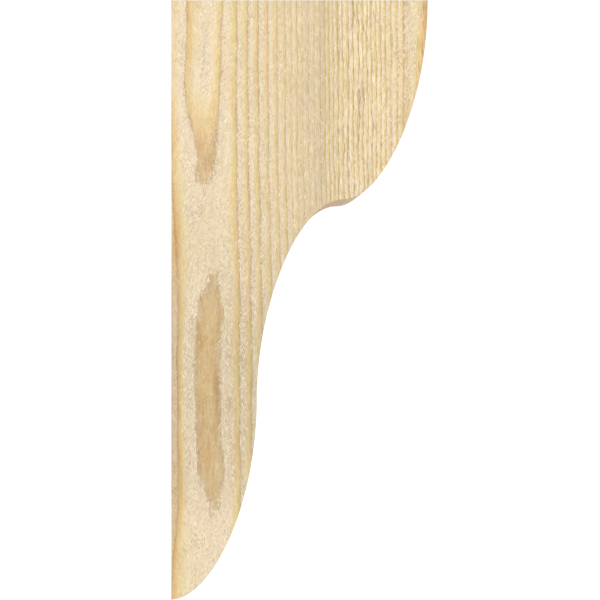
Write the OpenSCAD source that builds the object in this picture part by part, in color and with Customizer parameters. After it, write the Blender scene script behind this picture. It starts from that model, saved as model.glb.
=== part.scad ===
// Timber corbel bracket: one solid block, band-sawn to a double-curved profile.
// +X runs out from the wall, +Y across the thickness and +Z up. The origin is at the top
// of the wall face, half-way across the thickness, where the wall meets the soffit.

/* [Block] */
// How far the top of the block stands out from the wall
projection = 304.8; // [240:0.1:420]
// Height of the wall face
height = 711.2; // [560:0.1:900]
// Thickness of the timber
thickness = 88.9; // [38:0.1:190]

/* [Profile] */
// Distance from the wall to the nose, where the belly turns into the hollow
nose_out = 206; // [150:1:235]
// Depth of the nose below the top
nose_drop = 236.5; // [150:0.5:330]
// Distance from the wall to the waist, where the hollow turns into the foot
waist_out = 102; // [60:1:140]
// Depth of the waist below the top
waist_drop = 472; // [350:1:550]

/* [Curves] */
// Fullness of the belly where it leaves the top, 0.55 being an ellipse
belly_side = 0.554; // [0.2:0.001:0.9]
// Fullness of the belly where it reaches the nose
belly_end = 0.426; // [0.2:0.001:0.9]
// Fullness of the hollow where it leaves the nose
hollow_end = 0.544; // [0.2:0.001:0.9]
// Fullness of the hollow where it reaches the waist
hollow_side = 0.45; // [0.2:0.001:0.9]
// Fullness of the foot where it leaves the waist
foot_side = 0.542; // [0.2:0.001:0.9]
// Fullness of the foot where it reaches the toe
foot_end = 0.461; // [0.2:0.001:0.9]
// Straight cuts that stand for each of the three curves
curve_cuts = 48; // [16:1:96]

/* [Hidden] */
timber_colour = "#E2CDA6";
down = [0, -1];
inward = [-1, 0];

// The points of the profile, [distance from the wall, height], from the top to the toe
top_outer = [projection, 0];
nose = [nose_out, -nose_drop];
waist = [waist_out, -waist_drop];
toe = [0, -height];

// A cubic curve's point at share t of the way from p0 to p3
function cubic(p0, p1, p2, p3, t) =
    pow(1 - t, 3) * p0
    + 3 * pow(1 - t, 2) * t * p1
    + 3 * (1 - t) * pow(t, 2) * p2
    + pow(t, 3) * p3;

// The box that a curve turns in, measured along a direction
function reach(from, to, along) = abs((to - from) * along);

// A quarter turn between two points: it leaves the first one along one direction and
// arrives at the second along the other, pulled out by a fullness at each end
function quarter_turn(from, leaving, leaving_full, to, arriving, arriving_full) = [
    for (i = [0 : curve_cuts - 1])
        cubic(
            from,
            from + leaving * leaving_full * reach(from, to, leaving),
            to - arriving * arriving_full * reach(from, to, arriving),
            to,
            i / curve_cuts
        )
];

function profile() = concat(
    [[0, 0]],
    quarter_turn(top_outer, down, belly_side, nose, inward, belly_end),
    quarter_turn(nose, inward, hollow_end, waist, down, hollow_side),
    quarter_turn(waist, down, foot_side, toe, inward, foot_end),
    [toe]
);

module corbel() {
    color(timber_colour)
        rotate([90, 0, 0])
            linear_extrude(height = thickness, center = true)
                polygon(profile());
}

corbel();
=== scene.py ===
import math

import bmesh
import bpy
import numpy as np
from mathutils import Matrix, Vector
from mathutils.geometry import delaunay_2d_cdt


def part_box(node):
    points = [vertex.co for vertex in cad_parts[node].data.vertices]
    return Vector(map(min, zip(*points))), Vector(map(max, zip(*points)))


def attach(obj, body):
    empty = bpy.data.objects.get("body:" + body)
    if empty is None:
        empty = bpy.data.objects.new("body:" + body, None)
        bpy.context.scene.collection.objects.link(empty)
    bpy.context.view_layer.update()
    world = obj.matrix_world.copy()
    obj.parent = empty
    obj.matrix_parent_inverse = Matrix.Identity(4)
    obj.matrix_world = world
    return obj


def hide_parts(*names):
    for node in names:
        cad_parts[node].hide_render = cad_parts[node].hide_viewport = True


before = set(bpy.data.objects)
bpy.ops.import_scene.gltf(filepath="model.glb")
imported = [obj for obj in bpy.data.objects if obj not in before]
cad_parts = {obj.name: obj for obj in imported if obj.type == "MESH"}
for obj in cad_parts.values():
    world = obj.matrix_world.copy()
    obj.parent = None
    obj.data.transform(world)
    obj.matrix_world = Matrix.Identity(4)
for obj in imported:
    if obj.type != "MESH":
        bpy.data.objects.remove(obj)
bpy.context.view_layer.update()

# A corbel bracket, band-sawn from one block of rough softwood.
# +X runs out from the wall, +Y across the thickness, and +Z up, which is also along the grain.

MM = 0.001
SEED = 7

# The block, from the frame
CORNER_LOW, CORNER_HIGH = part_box("corbel")
WALL_X = CORNER_LOW.x
FRONT_Y = CORNER_LOW.y
BACK_Y = CORNER_HIGH.y
TOE_Z = CORNER_LOW.z
TOP_Z = CORNER_HIGH.z

# The tree: its pith runs up behind the block, and the rings are counted outwards from it
PITH_BEHIND_FRONT = 141 * MM
FIRST_WHOLE_RING = 30
FIRST_RING_RADIUS = 143.1 * MM
RING_TABLE_REACH = 400 * MM
RING_TABLE_ROWS = 4001

# Every table and every noise's cell gives its lengths in millimetres. All the tables but the resin
# and the marks are read off straight between their rows.

# Width of a year's ring, by its distance from the pith
RING_WIDTHS = (
    (0, 5), (128, 4.6), (137, 1.75), (143, 1.75), (143.5, 3.5), (147, 3.8), (151, 4.5),
    (156, 5.2), (161, 5.4), (166, 5.6), (171, 4.8), (175, 3.9), (185, 4.5), (197, 4.8),
    (202, 3.5), (208, 3.6), (214, 4.5), (227, 5), (236, 4.2), (246, 4), (254, 5), (266, 6),
    (276, 6.2), (278, 26), (320, 26),
)
# How strongly the dark latewood shows, by distance from the pith
LATEWOOD_SHARES = (
    (0, 0.8), (135, 0.8), (150, 0.8), (163, 0.85), (170, 0.6), (176, 0.42), (194, 0.42),
    (204, 0.8), (216, 1.15), (240, 1.2), (262, 1.1), (276, 0.8), (300, 0.9),
)
# A smooth resinous strip along the outer edge: its inner side by depth below the top
STRIP_OUTS = ((0, 299), (12, 297.4), (53, 291.5), (107, 289), (140, 280))
# How sharply the strip starts, where it ends and over what depth it fades, and how its side strays
STRIP_START = 0.7 * MM
STRIP_END = 135 * MM
STRIP_FADE = 20 * MM
STRIP_WANDER = ((3, 20, 6), 0.8)
# How much resin the strip holds and how much smoother it is, and the width, bleaching and tearing
# of the pale tufts beside it
STRIP_RESIN = 0.45
STRIP_CALM = 0.8
TUFT_WIDTH = 5.5 * MM
TUFT_BLEACH = 0.1
TUFT_TEARING = 0.25

# The wandering of the pith sideways, by depth below the top
PITH_OUTS = (
    (0, 38), (180, 39), (300, 42), (380, 44.5), (520, 44.5), (590, 44), (628, 41), (655, 37.5),
    (712, 33),
)

# Two swellings of the trunk, which the saw opened into islands of latewood:
# at each depth below the top, the middle of the island and half its width, which is below nought
# where the island is closed
ISLANDS = (
    (-60, 41, 22), (0, 41, 22), (24, 40, 21.3), (59, 39, 21.3), (95, 36, 22), (129, 38, 19),
    (165, 41.5, 14.5), (187, 42, 12), (207, 39.5, 10.7), (214, 37, 7), (218, 38, 0),
    (240, 42, -9), (300, 49, -9), (321, 52, 0), (353, 47, 14), (371, 47, 16.2), (399, 44, 15.4),
    (441, 42, 16), (479, 43.5, 15.4), (512, 44.5, 14.8), (545, 47.5, 16), (562, 48.5, 16.2),
    (582, 50, 11.5), (600, 51.5, 4.5), (609, 52.5, 0), (640, 50, -9), (720, 44, -9),
)
# How far sideways the swellings reach, and the bend of the grain towards their middles
SWELLING_REACH = 27 * MM
BEND_REACH = 30 * MM
# How much more the trunk swells between the islands, for each millimetre that they are closed
CLOSED_SWELLING = 0.05
# How deep behind the front face the islands reach
ISLAND_REACH = 40 * MM
# How the grain strays: the cell that it changes over, and how far
PITH_WANDER = ((400, 400, 110), 0.3)
GRAIN_WANDER = ((20, 30, 40), 0.6)
GRAIN_TREMBLE = ((6, 20, 11), 0.5)
# The same for the arches on the back, as an area in square millimetres
ARCH_CELL = (120, 200, 210)
ARCH_AREA = 950
# The share that is left of the innermost ring's width where the saw ran through it, by depth
SLOW_SHARES = ((0, 1), (128, 1), (200, 0.55), (240, 0.5), (300, 0.3), (340, 0.3), (620, 0.3))
# How far the trunk has thickened, by depth below the top, as an area in square millimetres
THICKENINGS = ((0, 0), (240, 0), (350, 150), (570, 150), (640, 60), (712, 60))

# How the weather has changed the block's tone, by depth below the top, in hundredths. Below nought
# it is darker.
TONES_DOWN = ((0, 0), (210, -1), (330, -8), (400, -13), (540, -13), (620, -2), (712, -1))
# The same by distance from the wall
TONES_OUT = (
    (0, 0), (60, 0), (85, -4), (150, -6), (163, -9), (185, -9), (205, -5), (230, -2.5),
    (250, 0.5), (305, 0),
)
# Where resin has stained the wood warmer, or the sun has bleached it if the strength is below
# nought: how far out and how deep each patch lies, its half-width, half-height and strength
RESIN = (
    (3, 50, 4, 70, -0.6), (3, 160, 4, 25, 0.3), (3, 610, 4.5, 40, 0.4), (3, 670, 4, 50, 0.6),
    (3.5, 440, 4.5, 160, 0.35), (4, 287, 5.5, 50, 0.85), (9.5, 450, 3.4, 150, 0.15),
    (10.5, 375, 2.5, 30, 0.2), (11, 580, 4, 50, 0.5), (20, 500, 5, 130, -0.7),
    (21, 30, 4, 70, 0.3), (31, 0, 5, 22, 0.5), (35, 640, 25, 60, -0.4), (42, 72, 9, 62, -0.6),
    (42, 180, 10, 42, 0.2), (44, 455, 5, 70, -0.3), (44, 465, 12, 130, 0.35),
    (54.5, 458, 4, 27, 0.3), (61, 60, 3, 110, 0.25), (66, 490, 6, 100, -0.6),
    (279, 70, 4, 110, 0.75),
)
# How torn the face is, by distance from the wall
TORN_SHARES = ((0, 1.0), (105, 1.0), (140, 0.6), (235, 0.6), (265, 1.3), (305, 1.3))
# Painted shade on the underside: how much darker the colour is made where the surface faces down
UNDERSIDE_PAINTED_SHADE = -0.13
# How deep behind the front face the resin and the marks go
MARK_REACH = 22 * MM
# A broad stain that runs down the upper part of the block
STAIN_OUT = 179 * MM
STAIN_HALF = 4.5 * MM
STAIN_END = 250 * MM
STAIN_FADE = 60 * MM
STAIN_SHADE = -0.10
# Small marks: how far out and how deep each lies, its half-width and half-height, and its shade
MARKS = (
    (0, 480, 2.2, 170, -0.1), (3, 430, 5.5, 180, -0.06), (3, 605, 5.5, 35, -0.06),
    (10, 470, 3, 130, -0.03), (12.5, 70, 4, 40, -0.03), (20, 585, 6, 30, -0.06),
    (30, 311, 4, 7, -0.05), (33, 165, 3, 22, -0.04), (37, 480, 1.2, 30, -0.05),
    (39.5, 227, 1.7, 7, -0.25), (40, 51, 3.5, 17, -0.12), (43, 162, 5, 20, 0.05),
    (43, 550, 1.5, 26, -0.06), (44, 465, 12, 130, 0.05), (47, 335, 2.5, 18, -0.05),
    (54.5, 458, 4, 30, -0.12), (66.5, 465, 6, 95, -0.09), (92, 430, 12, 80, -0.03),
    (128, 69, 1.6, 3, -0.12), (198.5, 50, 1.8, 65, -0.16), (221.5, 160, 1.8, 24, -0.16),
    (226, 112, 1.8, 18, -0.2),
)

# Sizes of the mesh
FRONT_STEP = (1.12 * MM, 3.2 * MM)
BACK_STEP = (1.6 * MM, 4.4 * MM)
EDGE_STEP = 2.6 * MM
THICKNESS_STEPS = 28
ARRIS = 0.7 * MM
CORNER_TURN = math.radians(25)
SHARP_ANGLE = math.radians(32)
# In steps: how far a face's points stray, how clear of the rim's points they stay, as a square,
# how clear of the rim's straight sides, and how near the wall's side counts as on it
FACE_JITTER = 0.22
RIM_CLEARANCE = 0.3
SIDE_CLEARANCE = 0.4
WALL_SLACK = 0.01
# Where a search for the nearest point starts from, as a square
FAR_OFF = 9.0
# The most that a corner's miter is stretched
MOST_STRETCH = 2
# How near two points count as one, in metres and in steps, and what slope counts as facing front
WELD = 1e-6
STEP_WELD = 1e-5
FACING_FRONT = -0.9

# The random values that the noise draws on, and how it picks one for each corner of its cells
NOISE_VALUES = 8192
NOISE_PRIMES = (73856093, 19349663, 83492791)


def lattice_noise(points, cell, seed):
    """A smooth random value from -1 to 1 at each point, that changes over a cell in millimetres."""
    table = np.random.default_rng(seed).uniform(-1, 1, NOISE_VALUES)
    at = points / (np.array(cell) * MM)
    base = np.floor(at).astype(np.int64)
    part = at - base
    part = part * part * (3 - 2 * part)
    total = np.zeros(len(points))
    for corner in np.ndindex(2, 2, 2):
        key = np.bitwise_xor.reduce((base + np.array(corner)) * np.array(NOISE_PRIMES), axis=1)
        weight = np.prod(np.where(corner, part, 1 - part), axis=1)
        total += weight * table[key % len(table)]
    return total


def wander(points, kind, seed):
    """How far the grain strays at each point."""
    cell, far = kind
    return lattice_noise(points, cell, seed) * far * MM


def read_off(rows, at, column=1):
    """What a table gives at each place along its first column, straight between its rows."""
    table = np.array(rows)
    return np.interp(at / MM, table[:, 0], table[:, column])


def ring_table():
    """Distances from the pith and the counts of rings there, a whole one at FIRST_RING_RADIUS."""
    radius = np.linspace(0, RING_TABLE_REACH, RING_TABLE_ROWS)
    width = read_off(RING_WIDTHS, radius) * MM
    count = np.concatenate([[0], np.cumsum(np.diff(radius) * (1 / width[1:] + 1 / width[:-1]) / 2)])
    count += FIRST_WHOLE_RING - np.interp(FIRST_RING_RADIUS, radius, count)
    return radius, count


def swelling(across, depth, thickening):
    """What the swellings add to the square of the distance from the pith."""
    half = read_off(ISLANDS, depth, 2) * MM
    level = FIRST_RING_RADIUS ** 2 - PITH_BEHIND_FRONT ** 2 - thickening
    inside = np.exp(np.square(half / SWELLING_REACH)) * (level - np.square(half))
    outside = level * (1 + CLOSED_SWELLING * -half / MM)
    height = np.where(half > 0, inside, outside)
    return height * np.exp(-np.square(across / SWELLING_REACH))


def ring_field(points):
    """The count of rings, and the strength of the latewood, at each point of the block."""
    depth = TOP_Z - points[:, 2]
    behind = FRONT_Y + PITH_BEHIND_FRONT - points[:, 1]
    pith = read_off(PITH_OUTS, depth) * MM
    pith += wander(points, PITH_WANDER, SEED)
    across = points[:, 0] - WALL_X - pith
    across += wander(points, GRAIN_WANDER, SEED + 2)
    across += wander(points, GRAIN_TREMBLE, SEED + 3)
    middle = read_off(ISLANDS, depth) * MM
    across -= (middle - pith) * np.exp(-np.square(across / BEND_REACH))
    near_front = np.clip(1 - (points[:, 1] - FRONT_Y) / ISLAND_REACH, 0, 1)
    thickening = read_off(THICKENINGS, depth) * MM * MM
    squared = np.square(across) + np.square(behind) + thickening
    squared += swelling(across, depth, thickening) * near_front
    arches = lattice_noise(points, ARCH_CELL, SEED + 1) * ARCH_AREA * MM * MM
    squared += arches * (1 - near_front)
    radius = np.sqrt(squared)
    radii, counts = ring_table()
    count = np.interp(radius, radii, counts)
    slow = 1 - (1 - read_off(SLOW_SHARES, depth)) * near_front
    cut_short = FIRST_WHOLE_RING - (FIRST_WHOLE_RING - count) * slow
    count = np.where(count < FIRST_WHOLE_RING, cut_short, count)
    return count, read_off(LATEWOOD_SHARES, radius)


def tone_field(points):
    """How much lighter each point is than clean new wood, or darker if it is below nought."""
    depth = TOP_Z - points[:, 2]
    out = points[:, 0] - WALL_X
    tone = (read_off(TONES_DOWN, depth) + read_off(TONES_OUT, out)) / 100
    stain = np.exp(-np.square((out - STAIN_OUT) / STAIN_HALF))
    tone += STAIN_SHADE * stain * np.clip((STAIN_END - depth) / STAIN_FADE, 0, 1)
    return tone + marks_field(points, MARKS)


def edge_strip(points):
    """How far each point lies within the smooth strip, and within the tufts beside it, from 0 to 1."""
    depth = TOP_Z - points[:, 2]
    past = points[:, 0] - WALL_X - read_off(STRIP_OUTS, depth) * MM
    past += wander(points, STRIP_WANDER, SEED + 9)
    lasting = np.clip((STRIP_END - depth) / STRIP_FADE, 0, 1)
    lasting *= np.exp(-np.square((points[:, 1] - FRONT_Y) / MARK_REACH))
    strip = 0.5 + 0.5 * np.tanh(past / STRIP_START)
    tufts = np.exp(-np.square((past + TUFT_WIDTH / 2) / (TUFT_WIDTH / 2))) * (1 - strip)
    return strip * lasting, tufts * lasting


def resin_field(points):
    """How much resin stains each point, below nought where the sun has bleached it."""
    strip, tufts = edge_strip(points)
    return marks_field(points, RESIN) + STRIP_RESIN * strip - TUFT_BLEACH * tufts


def marks_field(points, marks):
    """The sum of the soft oval marks, which fade with depth behind the front face."""
    total = np.zeros(len(points))
    for out, depth, half_width, half_height, strength in marks:
        far_across = ((points[:, 0] - WALL_X) / MM - out) / half_width
        far_along = ((TOP_Z - points[:, 2]) / MM - depth) / half_height
        total += strength * np.exp(-np.square(far_across) - np.square(far_along))
    return total * np.exp(-np.square((points[:, 1] - FRONT_Y) / MARK_REACH))


def torn_field(points):
    """How torn the surface is at each point."""
    strip, tufts = edge_strip(points)
    torn = read_off(TORN_SHARES, points[:, 0] - WALL_X)
    return torn * (1 - STRIP_CALM * strip + TUFT_TEARING * tufts)


# How late in the year the wood hardens, and how much a ring with no latewood wears
LATE_HARDENING = 1.5
LEAST_WEAR = 0.4


def season_depth(count, latewood):
    """How far the soft spring wood stands back behind the hard autumn wood, from 0 to 1."""
    part = count - np.floor(count)
    worn = 0.5 + 0.5 * np.cos(2 * math.pi * np.power(part, LATE_HARDENING))
    return worn * np.minimum(LEAST_WEAR + (1 - LEAST_WEAR) * latewood, 1)


def outline_of(node):
    """The block's profile, from the front face of its CAD node: a clockwise loop of (x, z) points."""
    mesh = bmesh.new()
    mesh.from_mesh(node.data)
    bmesh.ops.remove_doubles(mesh, verts=mesh.verts, dist=WELD)
    rim = {}
    for edge in mesh.edges:
        sides = [face.normal.y < FACING_FRONT for face in edge.link_faces]
        if sorted(sides) == [False, True]:
            a, b = edge.verts
            rim.setdefault(a.index, []).append(b.index)
            rim.setdefault(b.index, []).append(a.index)
    mesh.verts.ensure_lookup_table()
    start = min(rim, key=lambda i: (-mesh.verts[i].co.z, mesh.verts[i].co.x))
    loop = [start]
    following = max(rim[start], key=lambda i: mesh.verts[i].co.x)
    while following != start:
        loop.append(following)
        following = next(i for i in rim[following] if i != loop[-2])
    points = np.array([(mesh.verts[i].co.x, mesh.verts[i].co.z) for i in loop])
    mesh.free()
    return points


def resampled(loop, step):
    """The same loop with even steps between its corners, and the length run at each point."""
    before = loop - np.roll(loop, 1, axis=0)
    after = np.roll(loop, -1, axis=0) - loop
    turn = np.arctan2(before[:, 0] * after[:, 1] - before[:, 1] * after[:, 0], (before * after).sum(1))
    corners = [i for i in range(len(loop)) if abs(turn[i]) > CORNER_TURN]
    closed = np.vstack([loop, loop[:1]])
    run = np.concatenate([[0], np.cumsum(np.linalg.norm(np.diff(closed, axis=0), axis=1))])
    stations = []
    for first, last in zip(corners, corners[1:] + [corners[0] + len(loop)]):
        start = run[first]
        end = run[last] if last < len(run) else run[last - len(loop)] + run[-1]
        count = max(2, round((end - start) / step))
        stations.extend(np.linspace(start, end, count, endpoint=False))
    stations = np.array(stations) % run[-1]
    points = np.column_stack([np.interp(stations, run, closed[:, k]) for k in range(2)])
    return points, stations


def outward_normals(loop):
    """The outward normal at each point of a clockwise loop, and its stretch at a corner's miter."""
    before = loop - np.roll(loop, 1, axis=0)
    after = np.roll(loop, -1, axis=0) - loop
    before /= np.linalg.norm(before, axis=1)[:, None]
    after /= np.linalg.norm(after, axis=1)[:, None]
    sides = np.column_stack([-(before[:, 1] + after[:, 1]), before[:, 0] + after[:, 0]])
    sides /= np.linalg.norm(sides, axis=1)[:, None]
    square = sides[:, 0] * -after[:, 1] + sides[:, 1] * after[:, 0]
    return sides, 1 / np.clip(square, 1 / MOST_STRETCH, 1)


def face_points(rim, step, seed):
    """Points spread over the inside of a rim, closer together across the grain than along it."""
    scaled_rim = rim / np.array(step)
    low, high = scaled_rim.min(0), scaled_rim.max(0)
    across, along = np.meshgrid(np.arange(low[0], high[0]), np.arange(low[1], high[1]))
    across[1::2] += 0.5
    points = np.column_stack([across.ravel(), along.ravel()])
    points += np.random.default_rng(seed).uniform(-FACE_JITTER, FACE_JITTER, points.shape)
    order = np.argsort(-scaled_rim[:, 1], kind="stable")
    outer = scaled_rim[order][scaled_rim[order][:, 0] > low[0] + WALL_SLACK]
    reach = np.interp(-points[:, 1], -outer[:, 1], outer[:, 0])
    inside = (points[:, 0] > low[0]) & (points[:, 0] < reach)
    points = points[inside & (points[:, 1] < high[1]) & (points[:, 1] > low[1])]
    clear = np.full(len(points), FAR_OFF)
    for corner in scaled_rim:
        clear = np.minimum(clear, np.square(points - corner).sum(1))
    near_line = np.minimum(points[:, 0] - low[0], high[1] - points[:, 1])
    return points[(clear > RIM_CLEARANCE) & (near_line > SIDE_CLEARANCE)]


def face_triangles(rim, step, seed):
    """A fine triangle mesh of the area inside a rim: its points, rim first, and its triangles."""
    points = np.vstack([rim / np.array(step), face_points(rim, step, seed)])
    loop = list(range(len(rim)))
    made = delaunay_2d_cdt([Vector(p) for p in points], [], [loop], 1, STEP_WELD)
    corners = np.array([tuple(p) for p in made[0]])
    source = [ids[0] if ids else -1 for ids in made[3]]
    place = {old: new for new, old in enumerate(source) if old >= 0}
    order = [place[i] for i in loop]
    order += [i for i in range(len(corners)) if not 0 <= source[i] < len(rim)]
    renamed = {old: new for new, old in enumerate(order)}
    triangles = [[renamed[i] for i in face] for face in made[2]]
    return corners[order] * np.array(step), triangles


# What each point of the block knows: how squarely the saw crossed the grain there, whether it lies
# on the sawn edge, the length run along the profile, and the distance from it
END_GRAIN, SAWN, RUN, CLEAR = range(4)


class Shell:
    """Collects the points and faces of the block, with what each point knows about itself."""

    def __init__(self):
        self.points, self.inward, self.facts, self.faces = [], [], [], []
        self.count = 0

    def add_points(self, points, inward, end_grain, sawn, run, clear):
        """Adds points with their way inwards and what they know, and gives the first one's number."""
        first = self.count
        facts = [np.full(len(points), value, float) for value in (end_grain, sawn, run, clear)]
        self.points.append(points)
        self.inward.append(inward)
        self.facts.append(np.column_stack(facts))
        self.count += len(points)
        return first

    def bridge(self, first_a, first_b, length):
        """Quads between two closed rings of points."""
        for i in range(length):
            j = (i + 1) % length
            self.faces.append((first_a + i, first_a + j, first_b + j, first_b + i))


def build_shell(node):
    """The whole closed surface of the block: two broad faces and the sawn band round them."""
    outline, run = resampled(outline_of(node), EDGE_STEP)
    normals, stretch = outward_normals(outline)
    inset = outline - normals * (stretch * ARRIS)[:, None]
    shell = Shell()
    rings = []
    for side, y, step in ((-1, FRONT_Y, FRONT_STEP), (1, BACK_Y, BACK_STEP)):
        flat, triangles = face_triangles(inset, step, SEED + side)
        points = np.column_stack([flat[:, 0], np.full(len(flat), y), flat[:, 1]])
        inward = np.tile((0.0, -side, 0.0), (len(points), 1))
        clear = rim_distance(flat, outline)
        first = shell.add_points(points, inward, 0, 0, 0, clear)
        for a, b, c in triangles:
            corners = (first + a, first + b, first + c)
            shell.faces.append(corners if side < 0 else corners[::-1])
        rings.append(first)
    band = []
    for y in np.linspace(FRONT_Y + ARRIS, BACK_Y - ARRIS, THICKNESS_STEPS):
        points = np.column_stack([outline[:, 0], np.full(len(outline), y), outline[:, 1]])
        inward = np.column_stack([-normals[:, 0], np.zeros(len(outline)), -normals[:, 1]])
        band.append(shell.add_points(points, inward, np.abs(normals[:, 1]), 1, run, 0))
    hoops = [rings[0], *band, rings[1]]
    for first_a, first_b in zip(hoops, hoops[1:]):
        shell.bridge(first_a, first_b, len(outline))
    return shell


def rim_distance(flat, outline):
    """The distance from each point of a face to the nearest point of the profile."""
    nearest = np.full(len(flat), FAR_OFF)
    for corner in outline:
        nearest = np.minimum(nearest, np.square(flat - corner).sum(1))
    return np.sqrt(nearest)


# Depth of the relief that the saw and the weather left, measured inwards from the CAD surface
SEASON_RELIEF = 0.34 * MM
WAVE_RELIEF = 0.30 * MM
TEAR_RELIEF = 0.22 * MM
BAND_SAW_RELIEF = 0.16 * MM
BAND_SAW_PITCH = 5.4 * MM
BAND_SAW_DRIFT = 1.2
WAVE_CELL = (30, 30, 70)
TEAR_CELL = (1.8, 1.8, 7)
DRIFT_CELL = (50, 30, 50)
# How much shallower the waves, then the wear and the tears, are on the sawn edge, and all of it on
# the top, which is what lies this near its height
SAWN_WAVE_LOSS = 0.5
SAWN_WEAR_LOSS = 0.45
TOP_LOSS = 0.95
TOP_SLACK = 0.1 * MM


def relief(points, count, latewood, facts):
    """How far inwards each point lies, never less than nothing."""
    sawn, run = facts[:, SAWN], facts[:, RUN]
    season = SEASON_RELIEF * season_depth(count, latewood)
    waves = WAVE_RELIEF * (0.5 + 0.5 * lattice_noise(points, WAVE_CELL, SEED + 4))
    tears = TEAR_RELIEF * (0.5 + 0.5 * lattice_noise(points, TEAR_CELL, SEED + 5))
    drift = BAND_SAW_DRIFT * lattice_noise(points, DRIFT_CELL, SEED + 6)
    kerf = BAND_SAW_RELIEF * (0.5 + 0.5 * np.sin(2 * math.pi * run / BAND_SAW_PITCH + drift))
    depth = waves * (1 - SAWN_WAVE_LOSS * sawn)
    depth += (season + tears) * (1 - SAWN_WEAR_LOSS * sawn)
    depth += kerf * sawn
    on_top = sawn * (points[:, 2] > TOP_Z - TOP_SLACK)
    return depth * (1 - TOP_LOSS * on_top)


# Where the torn fibres stand: most at the start of a year and some in its spring wood, in patches,
# and none within a bare margin of the block's profile
YEAR_START = 0.16
SPRING_SHARE = 0.45
SPRING = 0.25
PATCH_CELL = (30, 50, 60)
PATCH_MEAN = 0.75
PATCH_SPREAD = 0.8
PATCH_LIMITS = (0.1, 1.6)
BARE_MARGIN = 7 * MM
MARGIN_FADE = 6 * MM


def fuzz_density(points, count, facts):
    """How thickly the torn fibres stand at each point, as a share. There are none on the sawn edge."""
    part = count - np.floor(count)
    torn = np.exp(-part / YEAR_START) + SPRING_SHARE * np.exp(-np.square((part - SPRING) / SPRING))
    patch = PATCH_MEAN + PATCH_SPREAD * lattice_noise(points, PATCH_CELL, SEED + 8)
    open_face = np.clip((facts[:, CLEAR] - BARE_MARGIN) / MARGIN_FADE, 0, 1) * (1 - facts[:, SAWN])
    return torn * np.clip(patch, *PATCH_LIMITS) * open_face * np.square(torn_field(points))


def new_object(name, data):
    """A new object in the scene, at the origin."""
    thing = bpy.data.objects.new(name, data)
    bpy.context.scene.collection.objects.link(thing)
    return thing


def timber_piece(node, material):
    """The rough-sawn block, with its relief and everything its finish needs to know at each point."""
    shell = build_shell(node)
    points, inward, facts = (np.vstack(part) for part in (shell.points, shell.inward, shell.facts))
    count, latewood = ring_field(points)
    placed = points + inward * relief(points, count, latewood, facts)[:, None]
    mesh = bpy.data.meshes.new("rough_sawn_corbel")
    mesh.from_pydata(placed.tolist(), [], shell.faces)
    known = {
        "ring": count,
        "latewood": latewood,
        "end_grain": facts[:, END_GRAIN],
        "sawn": facts[:, SAWN],
        "run": facts[:, RUN],
        # The tone holds the weathered tone, the stain and the marks, plus painted shade that darkens
        # surfaces facing down
        "tone": tone_field(points) + UNDERSIDE_PAINTED_SHADE * np.clip(inward[:, 2], 0, 1),
        "resin": resin_field(points),
        "torn": torn_field(points),
        "fuzz": fuzz_density(points, count, facts),
    }
    for name, values in known.items():
        layer = mesh.attributes.new(name, "FLOAT", "POINT")
        layer.data.foreach_set("value", np.asarray(values, np.float32))
    mesh.materials.append(material)
    mesh.validate()
    mesh.shade_smooth()
    mesh.set_sharp_from_angle(angle=SHARP_ANGLE)
    return new_object("rough_sawn_corbel", mesh)


def paint(red, green, blue):
    """A colour as it looks on a screen, from 0 to 255, made into the linear values of a shader."""
    linear = []
    for seen in (red / 255, green / 255, blue / 255):
        linear.append(seen / 12.92 if seen <= 0.04045 else ((seen + 0.055) / 1.055) ** 2.4)
    return (*linear, 1.0)


def grey(value):
    """A grey of a given linear value."""
    return (value, value, value, 1.0)


# How strongly a warm shade acts on red, green and blue
SHADE_BY_CHANNEL = (0.92, 1.05, 1.4)


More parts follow.
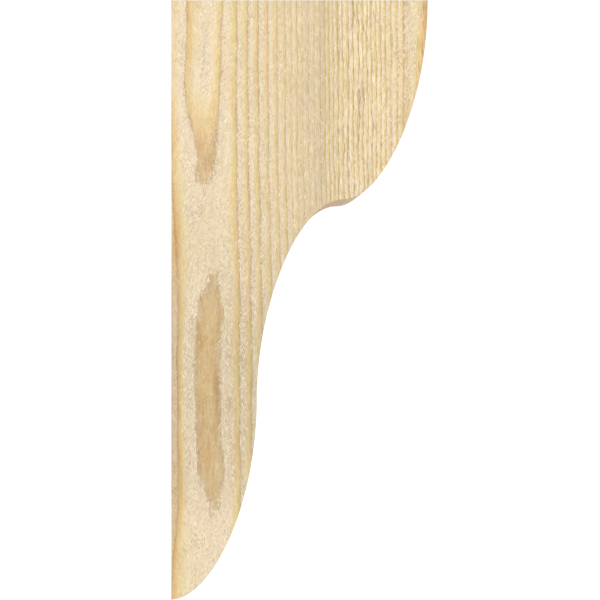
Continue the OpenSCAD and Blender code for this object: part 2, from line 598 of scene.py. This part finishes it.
class Nodes:
    """Adds and joins the nodes of one tree."""

    def __init__(self, tree):
        self.tree = tree
        tree.nodes.clear()

    def feed(self, socket, value):
        """Links a socket to what another node gives, or sets it to a plain value."""
        if isinstance(value, bpy.types.NodeSocket):
            self.tree.links.new(value, socket)
        else:
            socket.default_value = value

    def add(self, kind, inputs=(), **settings):
        """A new node of one kind, with its settings and with its inputs fed."""
        node = self.tree.nodes.new(kind)
        for name, value in settings.items():
            setattr(node, name, value)
        for name, value in dict(inputs).items():
            self.feed(node.inputs[name], value)
        return node

    def math(self, operation, *values, clamp=False):
        """What a math node gives for some values."""
        node = self.add("ShaderNodeMath", operation=operation, use_clamp=clamp)
        for socket, value in zip(node.inputs, values):
            self.feed(socket, value)
        return node.outputs[0]

    def times(self, a, b, clamp=False):
        """One value times another."""
        return self.math("MULTIPLY", a, b, clamp=clamp)

    def times_plus(self, a, b, c, clamp=False):
        """One value times another, plus a third."""
        return self.math("MULTIPLY_ADD", a, b, c, clamp=clamp)

    def above(self, value):
        """The value where it is above nought, and nought elsewhere."""
        return self.math("MAXIMUM", value, 0.0)

    def knows(self, name):
        """The number that the mesh keeps under a name at each point."""
        return self.add("ShaderNodeAttribute", attribute_name=name).outputs["Fac"]

    def noise(self, place, cell, detail=2, rough=0.5, lean=0, offset=0):
        """A smooth random value round nought, mostly from -1 to 1, that changes over a cell of the
        given size in millimetres. Its cells can lean by some degrees in the broad faces' plane."""
        if lean:
            turn = {"Vector": place, "Angle": math.radians(lean)}
            place = self.add("ShaderNodeVectorRotate", turn, rotation_type="Y_AXIS").outputs[0]
        scaled = self.add("ShaderNodeVectorMath", {0: place}, operation="MULTIPLY_ADD")
        scaled.inputs[1].default_value = tuple(1 / (size * MM) for size in cell)
        scaled.inputs[2].default_value = (offset, offset, offset)
        inputs = {"Vector": scaled.outputs[0], "Scale": 1.0, "Detail": detail, "Roughness": rough}
        value = self.add("ShaderNodeTexNoise", inputs).outputs[0]
        return self.times_plus(value, 4.0, -2.0)

    def ramp(self, value, stops):
        """A colour read off between stops, each of which is a value and its colour."""
        node = self.add("ShaderNodeValToRGB", {"Fac": value})
        elements = node.color_ramp.elements
        while len(elements) > 1:
            elements.remove(elements[-1])
        for index, (position, colour) in enumerate(stops):
            element = elements[0] if index == 0 else elements.new(position)
            element.position = position
            element.color = colour
        return node.outputs["Color"]

    def curve(self, value, stops):
        """The same for a plain number in place of a colour."""
        return self.ramp(value, [(position, grey(number)) for position, number in stops])

    def mix(self, factor, a, b, blend="MIX"):
        """The first colour, led towards the second by a factor."""
        node = self.add("ShaderNodeMix", data_type="RGBA", blend_type=blend, clamp_factor=True)
        self.feed(node.inputs[0], factor)
        self.feed(node.inputs[6], a)
        self.feed(node.inputs[7], b)
        return node.outputs[2]

    def shade(self, colour, amount):
        """The colour made lighter or darker by a share."""
        factor = self.math("ADD", amount, 1.0)
        node = self.add("ShaderNodeVectorMath", {0: colour}, operation="SCALE")
        self.feed(node.inputs["Scale"], factor)
        return node.outputs[0]

    def warm_shade(self, colour, amount):
        """The colour made lighter and cooler, or darker and warmer, by a share."""
        factors = self.add("ShaderNodeVectorMath", {0: amount}, operation="MULTIPLY_ADD")
        factors.inputs[1].default_value = SHADE_BY_CHANNEL
        factors.inputs[2].default_value = (1, 1, 1)
        inputs = {0: colour, 1: factors.outputs[0]}
        return self.add("ShaderNodeVectorMath", inputs, operation="MULTIPLY").outputs[0]

    def bump(self, height, strength, deep):
        """The surface's tilt over small bumps of the given depth."""
        inputs = {"Height": height, "Strength": strength, "Distance": deep}
        return self.add("ShaderNodeBump", inputs).outputs[0]

    def finish(self, colour, rough, gloss, **more):
        """Joins up the shader of a material."""
        inputs = {"Base Color": colour, "Roughness": rough, **more}
        shader = self.add("ShaderNodeBsdfPrincipled", inputs)
        shader.inputs["Specular IOR Level"].default_value = gloss
        self.add("ShaderNodeOutputMaterial", {"Surface": shader.outputs[0]})


def new_material(name):
    """An empty material, its nodes, and each point's place on the object."""
    material = bpy.data.materials.new(name)
    material.use_nodes = True
    n = Nodes(material.node_tree)
    return material, n, n.add("ShaderNodeTexCoord").outputs["Object"]


# The noises of the finish. Each has a cell, in millimetres across, through and along the grain, then
# how many finer layers it has, how rough they are, how far it leans and where in the noise it starts.
FIBRE_SIDE = {"cell": (26, 40, 60), "detail": 0, "offset": 4.3}
WOBBLE = {"cell": (6, 9, 20)}
BARBS = {"cell": (1.0, 1.0, 4.0), "detail": 1, "lean": 34, "offset": 1.7}
RIPPLE = {"cell": (3, 5, 34), "detail": 3, "rough": 0.6, "offset": 6.6}
PATCHES = {"cell": (6, 8, 32), "offset": 1.3}
ORANGES = {"cell": (5, 20, 60), "detail": 1, "offset": 8.8}
YELLOWS = {"cell": (30, 60, 130), "detail": 1}
PINKS = {"cell": (8, 20, 45), "offset": 3.1}
GREENS = {"cell": (8, 20, 40), "offset": 7.9}
STREAKS = {"cell": (1.5, 1.5, 24), "rough": 0.6}
SPLINTERS = {"cell": (0.9, 0.9, 10), "detail": 1, "lean": 2, "offset": 5.7}
BANDS = {"cell": (9, 9, 160)}
STRANDS = {"cell": (0.95, 0.95, 4.6), "detail": 1, "lean": 36, "offset": 0}
FLECKS = {"cell": (1.15, 1.15, 1.5), "detail": 1, "offset": 2.2}
TUFTS = {"cell": (9, 20, 26), "rough": 0.6, "offset": 9.1}
PORES = {"cell": (0.9, 0.9, 8), "rough": 0.7}
SMEARS = {"cell": (3, 14, 5), "offset": 2.7}
KERFS = {"cell": (1.6, 1000, 1000), "detail": 3, "rough": 0.7}
FIBRE_PATCHES = {"cell": (6, 6, 12)}
THREADS = {"cell": (0.3, 0.3, 3)}
MOTTLES = {"cell": (400, 400, 400)}

# Colours as they look on a screen, through one year of growth and across the end of the grain
YEAR_COLOURS = (
    (0.00, paint(222, 202, 174)),
    (0.06, paint(233, 216, 191)),
    (0.30, paint(234, 217, 187)),
    (0.48, paint(232, 213, 172)),
    (0.62, paint(231, 207, 151)),
    (0.81, paint(227, 197, 137)),
    (0.90, paint(213, 182, 128)),
    (0.96, paint(196, 164, 117)),
    (1.00, paint(200, 172, 132)),
)
END_COLOURS = (
    (0.00, paint(224, 201, 173)),
    (0.60, paint(217, 191, 158)),
    (0.94, paint(184, 150, 116)),
    (1.00, paint(204, 176, 144)),
)
PLAIN_WOOD = paint(226, 206, 170)
ORANGE_WOOD = paint(222, 178, 128)
YELLOW_WOOD = paint(230, 204, 150)
PINK_WOOD = paint(224, 192, 170)
GREEN_WOOD = paint(218, 204, 148)
RESIN_FILM = paint(240, 218, 186)
BLEACHED_WOOD = paint(236, 214, 193)
FIBRE_YELLOW = paint(250, 238, 214)
FIBRE_TAN = paint(238, 221, 186)
WHITE_PAPER = paint(250, 250, 250)

# How far the lean of the torn fibres swings, and how far on in a noise its left-leaning half starts
SIDE_SWING = 2.2
LEFT_OFFSET = 5
# How strongly the rings show: what latewood, each year's luck and patches add to the least
LEAST_STRENGTH = -0.12
LATEWOOD_STRENGTH = 0.8
LUCK_STRENGTH = 0.4
PATCH_STRENGTH = 0.32
PATCH_BOLDNESS = 0.9
# What makes up the fur of torn wood, and how thin it gets between the tufts
STRAND_WEIGHT = 1.75
FLECK_WEIGHT = 0.35
TUFT_SPREAD = 0.75
THINNEST_FUR = 0.35
# What the sawn edge loses of the ripple and of the fur
SAWN_RIPPLE_LOSS = 0.7
SAWN_FUR_LOSS = 0.6
# How fast the surface turns to end grain, and from where
END_GRAIN_GAIN = 1.5
END_GRAIN_START = -0.4
# How strongly each colour shows at most, and where the yellow comes and goes
ORANGE_SHARE = 0.35
YELLOW_SHARE = 0.3
YELLOW_MEAN = 0.2
YELLOW_SPREAD = 0.6
PINK_SHARE = 0.38
GREEN_SHARE = 0.36
BLEACH_SHARE = 0.6
# How far each noise shifts the rings, as a share of a year
WOBBLE_SHIFT = 0.03
BARB_SHIFT = 0.06
RIPPLE_SHIFT = 0.8
# From what strength of latewood the rings count as tight
TIGHT_FROM = 0.75
# How strongly each noise or line lightens the wood, as a share. Below nought it darkens.
STREAK_SHADE = 0.05
BAND_SHADE = 0.025
FUR_SHADE = 0.138
KERF_SHADE = 0.035
PORE_SHADE = 0.07
SMEAR_SHADE = 0.08
TIGHT_LINE_SHADE = -0.26
TIGHT_GAP_SHADE = 0.12
# The same for splinters: everywhere, in autumn wood, in tight wood and where the face is not torn
SPLINTER_SHADE = 0.05
AUTUMN_SPLINTERS = 0.055
TIGHT_SPLINTERS = 0.24
SMOOTH_SPLINTERS = 0.22
# How these come and go through a year: the autumn wood, its orange, the fur, and the tight rings'
# dark lines and pale gaps
AUTUMN = ((0.55, 0), (0.8, 1))
ORANGE_SEASON = ((0.6, 0), (0.9, 1))
FUR_SEASON = ((0.0, 1), (0.4, 0.9), (0.68, 0.4), (0.9, 0.4), (1.0, 0.7))
TIGHT_LINES = ((0.0, 0.4), (0.07, 0), (0.7, 0), (0.93, 1), (1.0, 0.7))
TIGHT_GAPS = ((0.0, 0), (0.12, 1), (0.4, 0.8), (0.7, 0))
# The heights of the fine bumps, as shares of their depth
BUMP_DEPTH = 1.0 * MM
RIDGE_HEIGHT = 0.22
STREAK_HEIGHT = 0.07
FUR_HEIGHT = 0.14
KERF_HEIGHT = 0.08
RIDGE_SHARPNESS = 2.0
# How rough and how glossy the timber is, and how much rougher in its fur
TIMBER_ROUGHNESS = 0.82
TIMBER_GLOSS = 0.25
FUR_ROUGHNESS = 0.03
# The same for a loose fibre, with its tan patches, its threads' shade and roughness, and its bumps
FIBRE_ROUGHNESS = 0.85
FIBRE_GLOSS = 0.2
FIBRE_TAN_MEAN = 0.4
FIBRE_TAN_SPREAD = 0.5
THREAD_SHADE = 0.04
THREAD_ROUGHNESS = 0.05
THREAD_BUMP = 0.4
THREAD_DEPTH = 0.1 * MM


def fibre_side(n, place):
    """Which way the torn fibres lean, mostly from -1 to 1. It turns slowly over the block."""
    return n.times(n.noise(place, **FIBRE_SIDE), SIDE_SWING)


def leaning(n, place, kind):
    """A noise whose cells lean the way that the torn fibres do."""
    side = n.times_plus(fibre_side(n, place), 0.5, 0.5, clamp=True)
    right = n.noise(place, **kind)
    mirrored = dict(kind, lean=-kind["lean"], offset=kind["offset"] + LEFT_OFFSET)
    left = n.times(n.noise(place, **mirrored), n.math("SUBTRACT", 1.0, side))
    return n.times_plus(right, side, left)


def year_rings(n, place, tight):
    """The part of the year at each point, from 0 to 1, and a random value for each year."""
    rings = n.times_plus(n.noise(place, **WOBBLE), WOBBLE_SHIFT, n.knows("ring"))
    rings = n.times_plus(leaning(n, place, BARBS), BARB_SHIFT, rings)
    off_edge = n.times_plus(n.knows("sawn"), -SAWN_RIPPLE_LOSS, 1.0)
    ripple = n.times(n.times(n.noise(place, **RIPPLE), off_edge), tight)
    rings = n.times_plus(ripple, RIPPLE_SHIFT, rings)
    luck = {"W": n.math("FLOOR", rings)}
    luck = n.add("ShaderNodeTexWhiteNoise", luck, noise_dimensions="1D").outputs["Value"]
    return n.math("FRACT", rings), luck


def ring_strength(n, luck, patches):
    """How strongly the rings show, from 0 to 1."""
    latewood = n.times_plus(n.knows("latewood"), LATEWOOD_STRENGTH, LEAST_STRENGTH)
    strength = n.times_plus(luck, LUCK_STRENGTH, latewood)
    return n.times_plus(patches, PATCH_STRENGTH, strength, clamp=True)


def wood_colour(n, place, season, strength):
    """The rings, with the tints that come and go over the block."""
    colour = n.mix(strength, PLAIN_WOOD, n.ramp(season, YEAR_COLOURS))
    orange = n.times(n.curve(season, ORANGE_SEASON), n.above(n.noise(place, **ORANGES)))
    colour = n.mix(n.times(orange, ORANGE_SHARE), colour, ORANGE_WOOD)
    yellow = n.noise(place, **YELLOWS)
    yellow = n.times_plus(yellow, YELLOW_SPREAD, YELLOW_MEAN, clamp=True)
    colour = n.mix(n.times(yellow, YELLOW_SHARE), colour, YELLOW_WOOD)
    pink = n.above(n.noise(place, **PINKS))
    colour = n.mix(n.times(pink, PINK_SHARE), colour, PINK_WOOD)
    green = n.above(n.noise(place, **GREENS))
    return n.mix(n.times(green, GREEN_SHARE), colour, GREEN_WOOD)


def stained(n, colour):
    """The colour under resin, or bleached by the sun."""
    resin = n.above(n.knows("resin"))
    colour = n.mix(resin, colour, n.mix(1.0, colour, RESIN_FILM, blend="MULTIPLY"))
    bleached = n.times(n.knows("resin"), -1.0, clamp=True)
    return n.mix(n.times(bleached, BLEACH_SHARE), colour, BLEACHED_WOOD)


def torn_fur(n, place, season):
    """How the fur of torn wood catches the light, below nought where it is in shade."""
    strands = n.times(leaning(n, place, STRANDS), STRAND_WEIGHT)
    fur = n.times_plus(n.noise(place, **FLECKS), FLECK_WEIGHT, strands)
    fur = n.times(fur, n.curve(season, FUR_SEASON))
    torn = n.times_plus(n.knows("sawn"), -SAWN_FUR_LOSS, n.knows("torn"))
    tufts = n.times_plus(n.noise(place, **TUFTS), TUFT_SPREAD, 1.0)
    return n.times(n.times(fur, torn), n.math("MAXIMUM", tufts, THINNEST_FUR))


def tight_rings(n, colour, season, tight, patches):
    """The colour with darker lines and paler gaps where the rings are tight."""
    bold = n.times(tight, n.times_plus(patches, PATCH_BOLDNESS, 1.0, clamp=True))
    lines = n.times(n.curve(season, TIGHT_LINES), bold)
    colour = n.shade(colour, n.times(lines, TIGHT_LINE_SHADE))
    gaps = n.times(n.curve(season, TIGHT_GAPS), bold)
    return n.shade(colour, n.times(gaps, TIGHT_GAP_SHADE))


def splintered(n, colour, place, season, tight):
    """The colour with fine splinters along the grain."""
    amount = n.times_plus(tight, TIGHT_SPLINTERS, SPLINTER_SHADE)
    amount = n.times_plus(n.curve(season, AUTUMN), AUTUMN_SPLINTERS, amount)
    smooth = n.math("SUBTRACT", 1.0, n.knows("torn"), clamp=True)
    amount = n.times_plus(smooth, SMOOTH_SPLINTERS, amount)
    return n.warm_shade(colour, n.times(n.noise(place, **SPLINTERS), amount))


def end_grained(n, colour, place, season):
    """The colour, led to that of end grain where the saw crossed the fibres."""
    across = n.knows("end_grain")
    across = n.times_plus(across, END_GRAIN_GAIN, END_GRAIN_START, clamp=True)
    smears = n.times(n.noise(place, **SMEARS), SMEAR_SHADE)
    marks = n.times_plus(n.noise(place, **PORES), PORE_SHADE, smears)
    return n.mix(across, colour, n.warm_shade(n.ramp(season, END_COLOURS), marks))


def saw_kerf(n):
    """The saw's fine marks across the sawn edge."""
    place = n.add("ShaderNodeCombineXYZ", {"X": n.knows("run")}).outputs[0]
    return n.times(n.noise(place, **KERFS), n.knows("sawn"))


def timber_material():
    """Softwood: pale torn spring wood that darkens to a tan autumn line, then starts again abruptly."""
    material, n, place = new_material("rough_softwood")
    tight = n.math("SUBTRACT", n.knows("latewood"), TIGHT_FROM, clamp=True)
    season, luck = year_rings(n, place, tight)
    patches = n.noise(place, **PATCHES)
    strength = ring_strength(n, luck, patches)
    streaks = n.noise(place, **STREAKS)
    fur = torn_fur(n, place, season)
    kerf = saw_kerf(n)

    colour = stained(n, wood_colour(n, place, season, strength))
    colour = tight_rings(n, colour, season, tight, patches)
    colour = n.warm_shade(colour, n.times(streaks, STREAK_SHADE))
    colour = splintered(n, colour, place, season, tight)
    colour = n.shade(colour, n.times(n.noise(place, **BANDS), BAND_SHADE))
    colour = n.warm_shade(colour, n.times(fur, FUR_SHADE))
    colour = end_grained(n, colour, place, season)
    # The tone lightens or darkens the colour, and carries the painted shade on the underside
    colour = n.shade(colour, n.knows("tone"))
    colour = n.shade(colour, n.times(kerf, KERF_SHADE))

    ridge = n.times(n.math("POWER", season, RIDGE_SHARPNESS), strength)
    height = n.times_plus(ridge, RIDGE_HEIGHT, n.times(streaks, STREAK_HEIGHT))
    height = n.times_plus(fur, FUR_HEIGHT, height)
    height = n.times_plus(kerf, KERF_HEIGHT, height)
    rough = n.times_plus(fur, FUR_ROUGHNESS, TIMBER_ROUGHNESS)
    n.finish(colour, rough, TIMBER_GLOSS, Normal=n.bump(height, 1.0, BUMP_DEPTH))
    return material


def fibre_material():
    """Loose fibres: the same wood, paler where it is torn, and not quite the same throughout."""
    material, n, place = new_material("torn_fibre")
    tan = n.noise(place, **FIBRE_PATCHES)
    tan = n.times_plus(tan, FIBRE_TAN_SPREAD, FIBRE_TAN_MEAN, clamp=True)
    thread = n.noise(place, **THREADS)
    colour = n.shade(n.mix(tan, FIBRE_YELLOW, FIBRE_TAN), n.times(thread, THREAD_SHADE))
    rough = n.times_plus(thread, THREAD_ROUGHNESS, FIBRE_ROUGHNESS)
    n.finish(colour, rough, FIBRE_GLOSS, Normal=n.bump(thread, THREAD_BUMP, THREAD_DEPTH))
    return material


# The torn fibres' sizes, and how many there are on a square metre where they stand thickest
FIBRES = {
    "Fibres per square metre": 190000.0,
    "Shortest": 3.0 * MM,
    "Longest": 8.5 * MM,
    "Thickness": 0.52 * MM,
    "Lean": math.radians(42),
    "Lift": 0.12,
}
# Between what shares each fibre's lean, lift and thickness vary
LEAN_SPREAD = (0.2, 1.2)
LIFT_SPREAD = (0.0, 1.0)
THICKNESS_SPREAD = (0.6, 1.4)
# A fibre points down where its draw from this spread is below nought
UPWARD_SPREAD = (-0.6, 1.0)
FIBRE_SIDES = 3


def fibre_tree():
    """Geometry nodes that scatter thin tapered fibres over a face, lying close to the grain."""
    tree = bpy.data.node_groups.new("torn_fibres", "GeometryNodeTree")
    kinds = {"Surface": "Geometry"}
    for name in FIBRES:
        kinds[name] = "Float"
    kinds["Seed"] = "Int"
    kinds["Material"] = "Material"
    names = {}
    for name, kind in kinds.items():
        socket = tree.interface.new_socket(name, in_out="INPUT", socket_type="NodeSocket" + kind)
        names[name] = socket.identifier
    tree.interface.new_socket("Fibres", in_out="OUTPUT", socket_type="NodeSocketGeometry")
    n = Nodes(tree)
    given = n.add("NodeGroupInput").outputs

    fuzz = n.add("GeometryNodeInputNamedAttribute", {"Name": "fuzz"}, data_type="FLOAT")
    density = n.times(fuzz.outputs["Attribute"], given["Fibres per square metre"])
    inputs = {"Mesh": given["Surface"], "Density": density, "Seed": given["Seed"]}
    spots = n.add("GeometryNodeDistributePointsOnFaces", inputs, distribute_method="RANDOM").outputs

    def chance(low, high, offset):
        """A random value between two limits, different for each fibre."""
        node = n.add("FunctionNodeRandomValue", data_type="FLOAT")
        n.feed(node.inputs[2], low)
        n.feed(node.inputs[3], high)
        n.feed(node.inputs["Seed"], n.math("ADD", given["Seed"], offset))
        return node.outputs[1]

    place = n.add("GeometryNodeInputPosition").outputs[0]
    side = n.math("MINIMUM", n.math("MAXIMUM", fibre_side(n, place), -1.0), 1.0)
    lean = n.times(given["Lean"], n.times(side, chance(*LEAN_SPREAD, 1)))
    upward = n.math("SIGN", chance(*UPWARD_SPREAD, 2))
    facing = n.add("ShaderNodeSeparateXYZ", {"Vector": spots["Normal"]}).outputs["Y"]
    parts = {
        "X": n.times(n.math("SINE", lean), upward),
        "Y": n.times(facing, n.times(given["Lift"], chance(*LIFT_SPREAD, 3))),
        "Z": n.times(n.math("COSINE", lean), upward),
    }
    along = n.add("ShaderNodeCombineXYZ", parts).outputs[0]
    turned = n.add("FunctionNodeAlignRotationToVector", {"Vector": along}, axis="Z").outputs[0]
    thick = n.times(given["Thickness"], chance(*THICKNESS_SPREAD, 4))
    long = chance(given["Shortest"], given["Longest"], 5)
    size = n.add("ShaderNodeCombineXYZ", {"X": thick, "Y": thick, "Z": long}).outputs[0]

    shape = {"Vertices": FIBRE_SIDES, "Radius Top": 0.0, "Radius Bottom": 1.0, "Depth": 1.0}
    sliver = n.add("GeometryNodeMeshCone", shape, fill_type="NGON").outputs["Mesh"]
    inputs = {"Points": spots["Points"], "Instance": sliver, "Rotation": turned, "Scale": size}
    placed = n.add("GeometryNodeInstanceOnPoints", inputs).outputs[0]
    real = n.add("GeometryNodeRealizeInstances", {"Geometry": placed}).outputs[0]
    inputs = {"Geometry": real, "Material": given["Material"]}
    painted = n.add("GeometryNodeSetMaterial", inputs).outputs[0]
    n.add("NodeGroupOutput", {"Fibres": painted})
    return tree, names


def fibre_piece(timber, material):
    """The loose fibres of the broad faces as one plain mesh, kept within the block's own box."""
    grown = new_object("fibre_bed", timber.data.copy())
    tree, names = fibre_tree()
    modifier = grown.modifiers.new("fibres", "NODES")
    modifier.node_group = tree
    values = {**FIBRES, "Seed": SEED, "Material": material}
    for name, value in values.items():
        modifier[names[name]] = value
    bpy.context.view_layer.update()
    evaluated = grown.evaluated_get(bpy.context.evaluated_depsgraph_get())
    mesh = bpy.data.meshes.new_from_object(evaluated)
    mesh.name = "torn_fibres"
    bpy.data.objects.remove(grown)
    place = np.zeros(len(mesh.vertices) * 3, np.float32)
    mesh.vertices.foreach_get("co", place)
    place = np.clip(place.reshape(-1, 3), np.array(CORNER_LOW), np.array(CORNER_HIGH))
    mesh.vertices.foreach_set("co", place.astype(np.float32).ravel())
    mesh.update()
    return new_object("torn_fibres", mesh)


# The camera stands level with the middle of the wall face, a little out from the wall. What it
# sees at the front face is as wide as the block is high, with its middle further out.
CAMERA_OUT = 71.6 * MM
CAMERA_AWAY = 1167 * MM
FRAME_WIDTH = TOP_Z - TOE_Z
FRAME_MIDDLE = 152.9 * MM
SENSOR_WIDTH = 36


def add_camera():
    """A level camera, square on to the front face."""
    data = bpy.data.cameras.new("camera")
    camera = new_object("camera", data)
    camera.location = (WALL_X + CAMERA_OUT, FRONT_Y - CAMERA_AWAY, (TOP_Z + TOE_Z) / 2)
    camera.rotation_euler = (math.radians(90), 0, 0)
    data.sensor_width = SENSOR_WIDTH
    data.lens = SENSOR_WIDTH * CAMERA_AWAY / FRAME_WIDTH
    data.shift_x = (FRAME_MIDDLE - CAMERA_OUT) / FRAME_WIDTH
    bpy.context.scene.camera = camera


# How bright the white surround is, and what the lights are turned to
WORLD_STRENGTH = 0.82
LIGHTS_AIM = (0.12, 0.0, -0.32)
# Each light's place and size in metres, and its power in watts
LIGHTS = {
    "key": ((-0.9, -1.5, 0.75), (0.5, 0.5), 9.0),
    "fill": ((1.6, -1.8, 0.2), (1.4, 1.4), 2.0),
}


def area_light(name, place, size, power):
    """A soft light, turned towards the middle of the block."""
    data = bpy.data.lights.new(name, "AREA")
    data.shape = "RECTANGLE"
    data.size, data.size_y = size
    data.energy = power
    light = new_object(name, data)
    light.location = place
    light.rotation_euler = (Vector(LIGHTS_AIM) - Vector(place)).to_track_quat("-Z", "Y").to_euler()


def add_lights():
    """An even white surround, a key light from the upper left and a weaker fill from the right."""
    world = bpy.data.worlds.new("studio")
    world.use_nodes = True
    n = Nodes(world.node_tree)
    glow = n.add("ShaderNodeBackground", {"Color": (1, 1, 1, 1), "Strength": WORLD_STRENGTH})
    n.add("ShaderNodeOutputWorld", {"Surface": glow.outputs[0]})
    bpy.context.scene.world = world
    for name, (place, size, power) in LIGHTS.items():
        area_light(name, place, size, power)


# The stage, in metres: its floor stands clear below the toe, and bends up into its back
STAGE_FLOOR = TOE_Z - 0.30
STAGE_HALF_WIDTH = 3.5
STAGE_FRONT = -3.5
STAGE_BACK = 2.6
STAGE_TOP = 3.0
STAGE_BEND = 1.2
STAGE_BEND_STEPS = 16
PAPER_MOTTLE = 0.004
PAPER_ROUGHNESS = 0.9
PAPER_GLOW = 0.2


def paper_material():
    """White paper, faintly mottled, that glows a little so that the floor stays pale."""
    material, n, place = new_material("pale_paper")
    colour = n.shade(WHITE_PAPER[:3], n.times(n.noise(place, **MOTTLES), PAPER_MOTTLE))
    glow = {"Emission Color": grey(1), "Emission Strength": PAPER_GLOW}
    n.finish(colour, PAPER_ROUGHNESS, 0.0, **glow)
    return material


def add_stage():
    """A pale floor that curves up into a backdrop."""
    line = [(STAGE_FRONT, STAGE_FLOOR)]
    for step in range(STAGE_BEND_STEPS + 1):
        angle = math.pi / 2 * step / STAGE_BEND_STEPS
        y = STAGE_BACK - STAGE_BEND + STAGE_BEND * math.sin(angle)
        line.append((y, STAGE_FLOOR + STAGE_BEND * (1 - math.cos(angle))))
    line.append((STAGE_BACK, STAGE_TOP))
    points = [(side * STAGE_HALF_WIDTH, y, z) for y, z in line for side in (-1, 1)]
    faces = [(2 * i, 2 * i + 1, 2 * i + 3, 2 * i + 2) for i in range(len(line) - 1)]
    mesh = bpy.data.meshes.new("studio_floor")
    mesh.from_pydata(points, [], faces)
    mesh.shade_smooth()
    mesh.materials.append(paper_material())
    new_object("studio_floor", mesh)


add_camera()
add_lights()
add_stage()
bpy.context.scene.view_settings.view_transform = "Standard"

timber = timber_piece(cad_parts["corbel"], timber_material())
fibres = fibre_piece(timber, fibre_material())
for piece in (timber, fibres):
    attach(piece, "root")
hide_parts("corbel")
